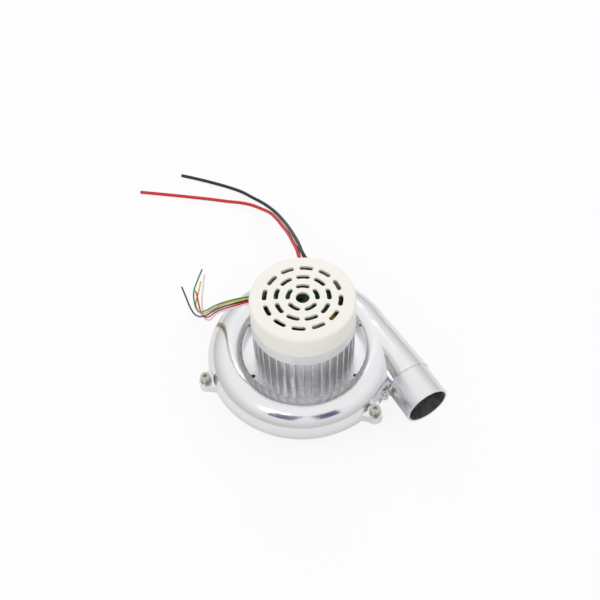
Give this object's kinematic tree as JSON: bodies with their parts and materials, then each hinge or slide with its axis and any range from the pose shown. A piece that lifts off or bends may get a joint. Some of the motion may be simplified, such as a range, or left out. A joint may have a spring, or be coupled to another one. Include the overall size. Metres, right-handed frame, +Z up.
{
  "type": "dc blower fan",
  "caption": "Brushless dc blower: finned motor under a slotted cap on a round-section cast scroll, with a tube outlet at the side, an inlet collar underneath and wired leads.",
  "frame": {"origin": "on the motor axis, at the foot of the inlet collar", "axes": "+Z up along the motor axis, towards the cap; the outlet blows along -Y, beside the motor at +X"},
  "size_m": [0.1559, 0.3409, 0.097],
  "materials": {
    "cast_aluminium": "polished casting",
    "turned_aluminium": "turned",
    "fin_aluminium": "matt",
    "steel": "stainless",
    "black_steel": "blackened",
    "lamination": "stacked sheet",
    "magnet": "sintered, coated",
    "insulator": "moulded",
    "copper_wire": "enamelled",
    "brass": "turned",
    "board": "solder mask",
    "black_package": "moulded",
    "yellow_film": "dipped",
    "ivory_plastic": "smooth",
    "red_sleeve": "silicone sleeve",
    "black_sleeve": "silicone sleeve",
    "green_sleeve": "sleeve",
    "yellow_sleeve": "sleeve",
    "white_sleeve": "sleeve"
  },
  "bodies": {
    "blower": {"upper_casing": "cast_aluminium", "lower_casing": "cast_aluminium", "outlet_spigot": "turned_aluminium", "casing_screws": "steel", "casing_spring_washers": "steel", "casing_flat_washers": "steel", "crotch_screw": "steel", "motor_base": "turned_aluminium", "base_screws": "black_steel", "motor_housing": "fin_aluminium", "housing_screws": "black_steel", "upper_bracket": "turned_aluminium", "bracket_screws": "steel", "stator_core": "lamination", "stator_insulators": "insulator", "stator_windings": "copper_wire", "phase_leads": "copper_wire", "lower_bearing_outer": "steel", "lower_bearing_balls": "steel", "upper_bearing_outer": "steel", "upper_bearing_balls": "steel", "wave_spring": "steel", "driver_board": "board", "board_standoffs": "brass", "board_screws": "steel", "capacitors": "black_package", "power_transistors": "black_package", "controller_chip": "black_package", "film_capacitors": "yellow_film", "supply_terminals": "steel", "signal_header": "insulator", "vent_cap": "ivory_plastic", "red_lead": "red_sleeve", "black_lead": "black_sleeve", "green_wire": "green_sleeve", "yellow_wire": "yellow_sleeve", "black_wire": "black_sleeve", "red_wire": "red_sleeve", "white_wire": "white_sleeve"},
    "rotor": {"rotor_core": "lamination", "rotor_magnets": "magnet", "shaft": "steel", "shaft_spacer": "steel", "lower_bearing_inner": "steel", "upper_bearing_inner": "steel", "circlip": "black_steel", "impeller": "turned_aluminium", "impeller_shroud": "turned_aluminium", "impeller_washer": "steel", "impeller_nut": "brass"}
  },
  "joints": [
    {"name": "rotor_spin", "type": "hinge", "parent": "blower", "child": "rotor", "pos_m": [0, 0, 0], "axis": [0, 0, 1], "continuous": true}
  ]
}
